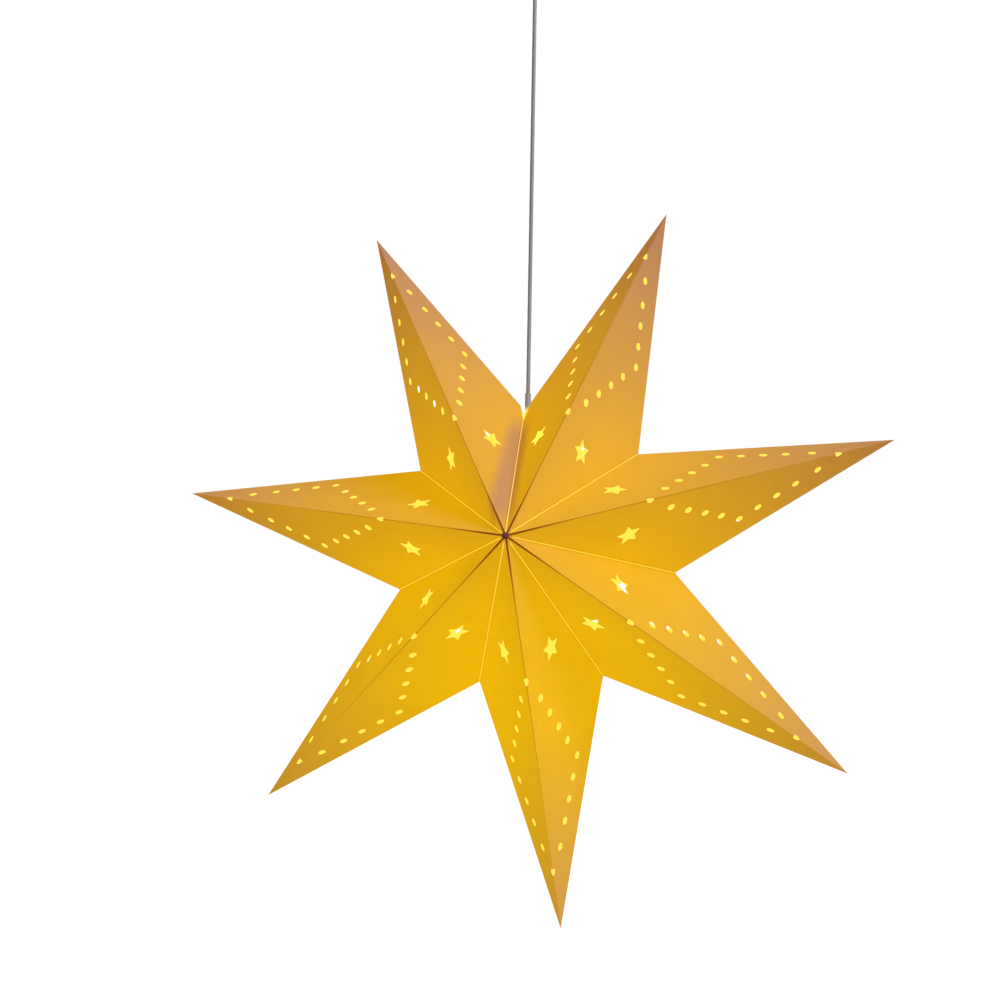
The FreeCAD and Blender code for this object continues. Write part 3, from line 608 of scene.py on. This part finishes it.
class STAR_OT_closing_strip(bpy.types.Operator):
    """Finishes the adhesive strip of the closing seam"""
    bl_idname = "star_lantern.closing_strip"
    bl_label = "Closing strip"

    def execute(self, context):
        # Matt paper tape: its unprinted paper lets more light through than the printed card
        material, tree, shader = new_material("paper_tape")
        height = add_node(tree, AXIS_Z, add_node(tree, PLACE))
        lit = add_node(tree, STRAIGHT, height, *TAPE_LIT_SPAN, *FALLING)
        fill_inputs(shader, {
            "Base Color": srgb("D8B070"),
            "Roughness": 0.6,
            "Emission Color": add_node(tree, MIX, lit, srgb("C4A468"), srgb("DCBA50")),
            "Emission Strength": 1.0,
        })
        for name in ("closing_strip_front", "closing_strip_back"):
            dress(name, material)
        return {"FINISHED"}


def ring_places(centre, ply):
    """Control points of one of the two plies that twist round the hub's ring."""
    places = []
    for index in range(RING_POINTS):
        turn = 2 * math.pi * index / RING_POINTS
        twist = PLY_TWISTS * turn + ply * math.pi
        radius = HUB_RING_RADIUS + PLY_OFFSET * math.cos(twist)
        places.append(centre + Vector((radius * math.cos(turn), PLY_OFFSET * math.sin(twist),
                                       radius * math.sin(turn))))
    return places


def knot_places(centre, tilt):
    """Control points of a thread that is wound over a ball, about a tilted axis."""
    places = []
    for index in range(KNOT_POINTS):
        share = (index + 0.5) / KNOT_POINTS
        slope = math.pi * share
        turn = 2 * math.pi * KNOT_TURNS * share
        offset = Vector((math.sin(slope) * math.cos(turn), math.sin(slope) * math.sin(turn),
                         math.cos(slope))) * KNOT_WIND_RADIUS
        offset.rotate(Matrix.Rotation(tilt, 3, "X"))
        places.append(centre + offset)
    return places


class STAR_OT_hub_threads(bpy.types.Operator):
    """Winds the twisted thread ring and its knot at each hub"""
    bl_idname = "star_lantern.hub_threads"
    bl_label = "Hub threads"

    def execute(self, context):
        # Spun polyester sewing thread, two plies: matt, with a soft sheen and a visible twist
        material = grained("sewing_thread", srgb("8A3022"), roughness=0.7, grain=0.15 * MM, variation=0.12,
                           relief=0.04 * MM)
        fill_inputs(material.node_tree.nodes["Principled BSDF"], {"Sheen Weight": 0.3})
        for side, node in ((-1, "hub_tie_front"), (1, "hub_tie_back")):
            corner = hub_corner()
            centre = Vector((corner.x, side * (corner.y - THREAD_RADIUS), corner.z))
            data = tube_data(node + "_thread", THREAD_RADIUS, resolution=3)
            for ply in (0, 1):
                spline = add_spline(data, ring_places(centre, ply))
                spline.use_cyclic_u = True
                spline.order_u = 4
            for tilt in KNOT_TILTS:
                spline = add_spline(data, knot_places(centre, tilt))
                spline.order_u = 4
                spline.use_endpoint_u = True
            add_piece(node + "_thread", data, material, "thread", node)
        return {"FINISHED"}


class STAR_OT_lampholder(bpy.types.Operator):
    """Finishes the lampholder's shells, grip, contacts and cores"""
    bl_idname = "star_lantern.lampholder"
    bl_label = "Lampholder"

    def execute(self, context):
        steps = settings("bulb").steps
        # Moulded white thermoplastic with a fine satin texture, yellow where the bulb lights it
        shell = lit_plastic("moulded_holder", srgb("E6E0D6"), roughness=0.42, lit_span=SHELL_LIT_SPAN,
                            glow=srgb("FDDA30"))
        grip = lit_plastic("moulded_grip", srgb("A6B0D0"), roughness=0.45, lit_span=GRIP_LIT_SPAN,
                           glow=srgb("F9D430"))
        # Pressed steatite, a dense unglazed ceramic with a fine speckle
        block = grained("steatite", srgb("E6E0D2"), roughness=0.55, grain=0.4 * MM, variation=0.05)
        # Extruded PVC insulation of the cores, glossy
        core = grained("core_pvc", srgb("2B4C9C"), roughness=0.35, grain=0.6 * MM)
        # Stamped brass with a bright nickel plating
        metal = grained("nickel_plated_brass", srgb("D9CDB4"), roughness=0.28, grain=0.25 * MM, metallic=1.0,
                        relief=0.01 * MM)

        dome = turned_mesh([
            (NECK_BORE_RADIUS, NECK_Z), (NECK_RADIUS, NECK_Z), (HOLDER_RADIUS, SHOULDER_Z),
            (HOLDER_RADIUS, JOINT_Z), (HOLDER_BORE_RADIUS, JOINT_Z), (HOLDER_BORE_RADIUS, BORE_SHOULDER_Z),
            (BORE_TOP_RADIUS, BORE_TOP_Z), (NECK_BORE_RADIUS, BORE_TOP_Z)], steps)
        keep_mesh("holder_dome_shell", rounded(dome, HOLDER_EDGE), shell, "holder_plastic", "holder_dome")
        body = turned_mesh([
            (HOLDER_RADIUS, JOINT_Z), (HOLDER_RADIUS, MOUTH_Z), (HOLDER_BORE_RADIUS, MOUTH_Z),
            (HOLDER_BORE_RADIUS, JOINT_Z), (SPIGOT_BORE_RADIUS, JOINT_Z), (SPIGOT_BORE_RADIUS, SPIGOT_TOP_Z),
            (SPIGOT_RADIUS, SPIGOT_TOP_Z), (SPIGOT_RADIUS, JOINT_Z)], steps)
        keep_mesh("holder_body_shell", rounded(body, HOLDER_EDGE), shell, "holder_plastic", "holder_body")
        nose = turned_mesh([
            (CORD_BORE_RADIUS, GRIP_LOW_Z), (GRIP_SHANK_RADIUS, GRIP_LOW_Z), (GRIP_SHANK_RADIUS, NECK_Z),
            (NECK_RADIUS, NECK_Z), (NECK_RADIUS, GRIP_FLANGE_Z), (GRIP_RADIUS, GRIP_SHOULDER_Z),
            (GRIP_RADIUS, GRIP_TOP_Z), (CORD_BORE_RADIUS, GRIP_TOP_Z)], steps)
        keep_mesh("holder_grip_nose", rounded(nose, GRIP_EDGE), grip, "holder_plastic", "holder_cord_grip")
        dress("holder_grip_nut", shell)
        dress("holder_insert", block)
        for name in ("holder_cores", "rose_cores"):
            dress(name, core)
        for name in ("holder_thread_shell", "holder_centre_contact"):
            dress(name, metal)
        return {"FINISHED"}


def threaded_mesh(radius, depth, top, low, turns, steps):
    """A capped round shank with a helical thread that runs out at both ends."""
    mesh = bmesh.new()
    bmesh.ops.create_grid(mesh, x_segments=steps, y_segments=turns * ROWS_PER_TURN, size=1.0)
    for vert in mesh.verts:
        angle = math.pi * (vert.co.x + 1)
        share = (vert.co.y + 1) / 2
        phase = turns * share * 2 * math.pi - angle
        run_out = min(1.0, share * turns, (1 - share) * turns)
        crest = radius - depth * (1 - run_out * (0.5 + 0.5 * math.cos(phase)))
        vert.co = Vector((crest * math.cos(angle), crest * math.sin(angle), low + (top - low) * share))
    bmesh.ops.remove_doubles(mesh, verts=mesh.verts, dist=WELD_DISTANCE)
    bmesh.ops.holes_fill(mesh, edges=[edge for edge in mesh.edges if edge.is_boundary], sides=0)
    return mesh


def dome_profile():
    """Half outline of the bulb's dome: a flat top, and a quarter ellipse down to its end."""
    profile = [(0.0, COLLAR_LOW_Z), (DOME_RADIUS, COLLAR_LOW_Z)]
    for index in range(1, DOME_STEPS):
        angle = index * math.pi / (2 * DOME_STEPS)
        profile.append((DOME_RADIUS * math.cos(angle),
                        COLLAR_LOW_Z - (COLLAR_LOW_Z - DOME_LOW_Z) * math.sin(angle)))
    return profile + [(0.0, DOME_LOW_Z)]


class STAR_OT_bulb(bpy.types.Operator):
    """Finishes the frosted bulb with its screw cap, collar and dome"""
    bl_idname = "star_lantern.bulb"
    bl_label = "Bulb"

    def execute(self, context):
        bulb = settings("bulb")
        # Frosted polycarbonate dome of an LED bulb, lit evenly from inside
        frosted, tree, shader = new_material("frosted_polycarbonate")
        fill_inputs(shader, {"Base Color": srgb("F4EEDC"), "Roughness": 0.5,
                             "Emission Color": bulb.warmth, "Emission Strength": bulb.strength})
        # Moulded white collar with a satin surface, lit by the dome below it
        collar_white = lit_plastic("moulded_collar", srgb("ECE8DE"), roughness=0.4,
                                   lit_span=COLLAR_LIT_SPAN, glow=srgb("F9D430"))
        # Rolled screw cap with a bright nickel plating
        plated = grained("nickel_plated_cap", srgb("CFCBC2"), roughness=0.25, grain=0.25 * MM, metallic=1.0,
                         relief=0.01 * MM)
        # Fused dark glass bead that insulates the centre contact, glossy
        bead = grained("contact_bead", srgb("2A2A2C"), roughness=0.2, grain=0.5 * MM)

        dome = turned_mesh(dome_profile(), bulb.steps)
        keep_mesh("bulb_dome", dome, frosted, "bulb_diffuser", "bulb")
        collar = turned_mesh([(0.0, CAP_LOW_Z), (COLLAR_TOP_RADIUS, CAP_LOW_Z),
                              (COLLAR_WAIST_RADIUS, COLLAR_WAIST_Z), (DOME_RADIUS, COLLAR_LOW_Z),
                              (0.0, COLLAR_LOW_Z)], bulb.steps)
        collar = rounded(collar, COLLAR_EDGE, COLLAR_EDGE_ANGLE)
        keep_mesh("bulb_collar", collar, collar_white, "bulb_diffuser", "bulb")
        cap = threaded_mesh(CAP_RADIUS, CAP_THREAD_DEPTH, CAP_TOP_Z, CAP_LOW_Z, CAP_THREAD_TURNS, bulb.steps)
        keep_mesh("bulb_cap", cap, plated, "contact_metal", "bulb")
        ring = turned_mesh([(0.0, CAP_TOP_Z), (BEAD_RADIUS, CAP_TOP_Z), (BUTTON_RADIUS, BUTTON_LOW_Z),
                            (0.0, BUTTON_LOW_Z)], bulb.steps)
        keep_mesh("bulb_bead", ring, bead, "contact_block", "bulb")
        button = turned_mesh([(0.0, BUTTON_LOW_Z), (BUTTON_RADIUS, BUTTON_LOW_Z), (BUTTON_RADIUS, BULB_TOP_Z),
                              (0.0, BULB_TOP_Z)], bulb.steps)
        keep_mesh("bulb_button", button, plated, "contact_metal", "bulb")
        return {"FINISHED"}


def rose_grip_profile():
    """Half section of the rose's cord grip: thread, flange, and a nose with bending ribs."""
    profile = [(CORD_BORE_RADIUS, ROSE_GRIP_TOP_Z), (ROSE_THREAD_RADIUS, ROSE_GRIP_TOP_Z),
               (ROSE_THREAD_RADIUS, ROSE_FLANGE_TOP_Z), (ROSE_FLANGE_RADIUS, ROSE_FLANGE_TOP_Z),
               (ROSE_FLANGE_RADIUS, ROSE_FLANGE_LOW_Z), (ROSE_NOSE_RADIUS, ROSE_FLANGE_LOW_Z)]
    for rib in range(RIB_COUNT):
        low = RIB_TOP_Z - rib * RIB_STEP
        radius = RIB_RADIUS - rib * RIB_TAPER
        profile += [(radius + out, low + up) for out, up in RIB_PROFILE]
    return profile + [(ROSE_END_RADIUS, ROSE_GRIP_LOW_Z), (CORD_BORE_RADIUS, ROSE_GRIP_LOW_Z)]


def slotted_screw(centre, outward, steps):
    """A screw along the X axis, with a round-edged head and a blind slot."""
    mesh = bmesh.new()
    turn = Matrix.Rotation(math.radians(90 * outward), 4, "Y")
    place = Matrix.Translation(centre + Vector((outward * HEAD_HEIGHT / 2, 0, 0))) @ turn
    bmesh.ops.create_cone(mesh, cap_ends=True, segments=steps, radius1=HEAD_RADIUS, radius2=HEAD_RADIUS,
                          depth=HEAD_HEIGHT, matrix=place)
    top_x = centre.x + outward * HEAD_HEIGHT

    def on_top(items):
        return [item for item in items if all(abs(vert.co.x - top_x) < WELD_DISTANCE for vert in item.verts)]

    bmesh.ops.bevel(mesh, geom=on_top(mesh.edges), offset=HEAD_EDGE, segments=4, profile=0.5,
                    affect="EDGES", material=-1)
    for axis, reach in ((Vector((0, 1, 0)), SLOT_HALF_WIDTH), (Vector((0, 0, 1)), SLOT_HALF_LENGTH)):
        for side in (-1, 1):
            faces = on_top(mesh.faces)
            edges = list({edge for face in faces for edge in face.edges})
            verts = list({vert for face in faces for vert in face.verts})
            bmesh.ops.bisect_plane(mesh, geom=faces + edges + verts, dist=SPLIT_DISTANCE,
                                   plane_co=centre + axis * side * reach, plane_no=axis)
    middle = Vector((top_x, centre.y, centre.z))
    slot = min(on_top(mesh.faces), key=lambda face: (face.calc_center_median() - middle).length)
    pushed = bmesh.ops.extrude_face_region(mesh, geom=[slot])
    verts = [item for item in pushed["geom"] if isinstance(item, bmesh.types.BMVert)]
    bmesh.ops.translate(mesh, verts=verts, vec=(-outward * SLOT_DEPTH, 0, 0))
    if slot.is_valid:
        bmesh.ops.delete(mesh, geom=[slot], context="FACES_ONLY")
    place = Matrix.Translation(centre - Vector((outward * SCREW_LENGTH / 2, 0, 0))) @ turn
    bmesh.ops.create_cone(mesh, cap_ends=True, segments=steps, radius1=SCREW_RADIUS, radius2=SCREW_RADIUS,
                          depth=SCREW_LENGTH, matrix=place)
    return mesh


class STAR_OT_ceiling_rose(bpy.types.Operator):
    """Finishes the ceiling rose, its strap, screws and terminal"""
    bl_idname = "star_lantern.ceiling_rose"
    bl_label = "Ceiling rose"

    def execute(self, context):
        # Injection moulded ABS, satin grey like the cord, with a fine spark-eroded texture
        shell = grained("moulded_rose", srgb("C6C6CA"), roughness=0.35, grain=0.5 * MM, relief=0.03 * MM)
        # Zinc plated steel with a fine crystal grain
        steel = grained("zinc_plated_steel", srgb("C8CCD0"), roughness=0.35, grain=0.8 * MM, metallic=1.0,
                        variation=0.06)
        # Moulded nylon, milky and a little waxy
        nylon = grained("nylon_terminal", srgb("EDEBE4"), roughness=0.5, grain=0.6 * MM)
        for name in ("rose_cover", "rose_grip_nut"):
            dress(name, shell)
        for name in ("rose_plate", "terminal_screws"):
            dress(name, steel)
        dress("terminal_block", nylon)
        grip = rounded(turned_mesh(rose_grip_profile(), settings("bulb").steps), ROSE_GRIP_EDGE)
        keep_mesh("rose_grip_nose", grip, shell, "rose_plastic", "rose_cord_grip")
        for side, name in ((-1, "left"), (1, "right")):
            screw = slotted_screw(Vector((side * SCREW_REACH, 0, SCREW_Z)), side, SCREW_STEPS)
            keep_mesh("rose_screw_" + name, screw, steel, "screw_steel", "rose_cover_screws")
        return {"FINISHED"}


class STAR_OT_cord(bpy.types.Operator):
    """Lays the sheathed cord, taut between the lampholder and the ceiling rose"""
    bl_idname = "star_lantern.cord"
    bl_label = "Cord"

    def execute(self, context):
        cord = settings("cord")
        # Grey PVC sheathed flex: extruded, smooth, a little glossy
        material, tree, shader = new_material("pvc_sheath")
        grain = add_node(tree, NOISE, add_node(tree, PLACE), 1 / SHEATH_GRAIN, GRAIN_DETAIL)
        shade = add_node(tree, STRAIGHT, grain, *NOISE_SPAN, *SHEATH_SHARES)
        fill_inputs(shader, {"Base Color": add_node(tree, MIX_MULTIPLY, 1.0, cord.sheath, shade),
                             "Roughness": 0.42})
        data = tube_data("cord_sheath", cord.diameter / 2, resolution=5)
        spline = add_spline(data, CORD_ROUTE)
        spline.order_u = 3
        spline.use_endpoint_u = True
        piece = add_piece("cord_sheath", data, material, "cord_sheath", "cord")
        return {"FINISHED"}


def seen_share(tree):
    """1 where the camera looks, straight, in a mirror or through glass, and 0 for light on the object."""
    share = 0.0
    for ray in ("Is Camera Ray", "Is Glossy Ray", "Is Transmission Ray"):
        share = add_node(tree, MAXIMUM, share, add_node(tree, ("ShaderNodeLightPath", {}, (), ray)))
    return share


def add_floor(height):
    """A wide grey floor that looks white to the camera and keeps the object's shadow."""
    material, tree, shader = new_material("floor")
    fill_inputs(shader, {
        "Base Color": srgb("959595"),
        "Roughness": 0.9,
        "Emission Color": srgb("FFFFFF"),
        "Emission Strength": add_node(tree, MULTIPLY, seen_share(tree), FLOOR_BRIGHTNESS),
    })
    mesh = bmesh.new()
    bmesh.ops.create_circle(mesh, cap_ends=True, radius=FLOOR_RADIUS, segments=FLOOR_STEPS,
                            matrix=Matrix.Translation((0, 0, height)))
    data = bpy.data.meshes.new("floor")
    mesh.to_mesh(data)
    mesh.free()
    data.materials.append(material)
    floor = bpy.data.objects.new("floor", data)
    bpy.context.scene.collection.objects.link(floor)


def add_room(ambient):
    """White surroundings for the camera, and an even weak light for the object."""
    world = bpy.data.worlds.new("room")
    bpy.context.scene.world = world
    world.use_nodes = True
    tree = world.node_tree
    strength = add_node(tree, STRAIGHT, seen_share(tree), 0.0, 1.0, ambient, 1.0)
    fill_inputs(tree.nodes["Background"], {"Color": srgb("FFFFFF"), "Strength": strength})


def add_sun(name, strength, toward):
    lamp = bpy.data.lights.new(name, "SUN")
    lamp.energy = strength
    lamp.angle = math.radians(SUN_ANGLE)
    holder = bpy.data.objects.new(name, lamp)
    holder.rotation_euler = Vector(toward).to_track_quat("-Z", "Y").to_euler()
    bpy.context.scene.collection.objects.link(holder)


def add_camera():
    """The camera at the photograph's place, with its picture plane upright in the same way."""
    lens = bpy.data.cameras.new("camera")
    lens.sensor_width = SENSOR_WIDTH
    lens.lens = CAMERA_LENS
    lens.clip_end = CAMERA_REACH
    camera = bpy.data.objects.new("camera", lens)
    right = Vector(CAMERA_RIGHT).normalized()
    back = right.cross(Vector(CAMERA_UP)).normalized()
    turn = Matrix((right, back.cross(right), back)).transposed().to_4x4()
    camera.matrix_world = Matrix.Translation(CAMERA_PLACE) @ turn
    bpy.context.scene.collection.objects.link(camera)
    bpy.context.scene.camera = camera


class STAR_OT_stage(bpy.types.Operator):
    """Sets up the floor, the lamps, the room light and the camera"""
    bl_idname = "star_lantern.stage"
    bl_label = "Stage"

    def execute(self, context):
        stage = settings("stage")
        bpy.context.scene.view_settings.view_transform = "Standard"
        add_floor(stage.floor_height)
        add_room(stage.ambient)
        add_sun("key", stage.key, KEY_TOWARD)
        add_sun("fill", stage.fill, FILL_TOWARD)
        add_camera()
        return {"FINISHED"}


# The cord is laid last
OPERATORS = (STAR_OT_stage, STAR_OT_card_points, STAR_OT_closing_strip, STAR_OT_hub_threads,
             STAR_OT_lampholder, STAR_OT_bulb, STAR_OT_ceiling_rose, STAR_OT_cord)


class STAR_PT_panel(bpy.types.Panel):
    """Lists the lantern's pieces and their settings"""
    bl_label = "Star Lantern"
    bl_idname = "STAR_PT_panel"
    bl_space_type = "VIEW_3D"
    bl_region_type = "UI"
    bl_category = "Star Lantern"

    def draw(self, context):
        for name, group in SETTINGS.items():
            box = self.layout.box()
            box.label(text=name.capitalize())
            for key in group.__annotations__:
                box.prop(settings(name), key)
        for operator in OPERATORS:
            self.layout.operator(operator.bl_idname)


CLASSES = tuple(SETTINGS.values()) + OPERATORS + (STAR_PT_panel,)


def register():
    for cls in CLASSES:
        bpy.utils.register_class(cls)
    for name, group in SETTINGS.items():
        setattr(bpy.types.Scene, "star_lantern_" + name, PointerProperty(type=group))


def unregister():
    for name in SETTINGS:
        delattr(bpy.types.Scene, "star_lantern_" + name)
    for cls in reversed(CLASSES):
        bpy.utils.unregister_class(cls)


def main():
    register()
    for operator in OPERATORS:
        getattr(bpy.ops.star_lantern, operator.bl_idname.split(".")[1])()


if __name__ == "__main__":
    main()
